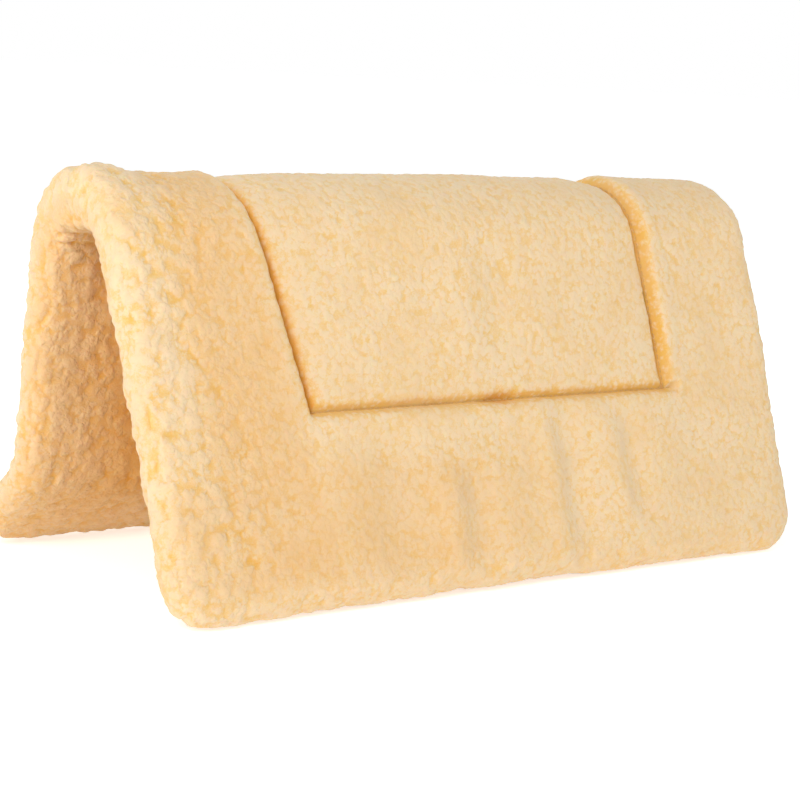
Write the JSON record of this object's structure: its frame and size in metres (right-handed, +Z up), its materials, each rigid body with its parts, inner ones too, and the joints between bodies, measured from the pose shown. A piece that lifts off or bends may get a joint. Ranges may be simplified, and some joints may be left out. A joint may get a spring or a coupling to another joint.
{
  "type": "saddle pad",
  "caption": "Rectangular double-faced fleece saddle pad with a foam core, draped over its spine into two flaps, with a sewn seat box across the top.",
  "frame": {"origin": "middle of the pad's footprint, on the surface that both flaps stand on", "axes": "+X along the spine to the front edge (towards the horse's head), +Y to the near (left) flap, +Z up"},
  "size_m": [0.762, 0.3752, 0.3691],
  "materials": {
    "fleece": "cream synthetic sheepskin pile on a knitted backing",
    "foam": "open-cell foam sheet",
    "thread": "bonded polyester sewing thread"
  },
  "bodies": {
    "spine": {"spine_top_fleece": "fleece", "spine_underside_fleece": "fleece", "spine_foam_core": "foam", "spine_edge_seam": "thread", "spine_front_seam_top_thread": "thread", "spine_front_seam_underside_thread": "thread", "spine_rear_seam_top_thread": "thread", "spine_rear_seam_underside_thread": "thread"},
    "near_flap": {"near_top_fleece": "fleece", "near_underside_fleece": "fleece", "near_foam_core": "foam", "near_edge_seam": "thread", "near_front_seam_top_thread": "thread", "near_front_seam_underside_thread": "thread", "near_rear_seam_top_thread": "thread", "near_rear_seam_underside_thread": "thread", "near_lower_seam_top_thread": "thread", "near_lower_seam_underside_thread": "thread"},
    "off_flap": {"off_top_fleece": "fleece", "off_underside_fleece": "fleece", "off_foam_core": "foam", "off_edge_seam": "thread", "off_front_seam_top_thread": "thread", "off_front_seam_underside_thread": "thread", "off_rear_seam_top_thread": "thread", "off_rear_seam_underside_thread": "thread", "off_lower_seam_top_thread": "thread", "off_lower_seam_underside_thread": "thread"}
  },
  "joints": [
    {"name": "near_flap_fold", "type": "hinge", "parent": "spine", "child": "near_flap", "pos_m": [0, 0.04338, 0.35622], "axis": [1, 0, 0], "range_deg": [-20, 69]},
    {"name": "off_flap_fold", "type": "hinge", "parent": "spine", "child": "off_flap", "pos_m": [0, -0.06061, 0.34574], "axis": [-1, 0, 0], "range_deg": [-19, 81]}
  ]
}
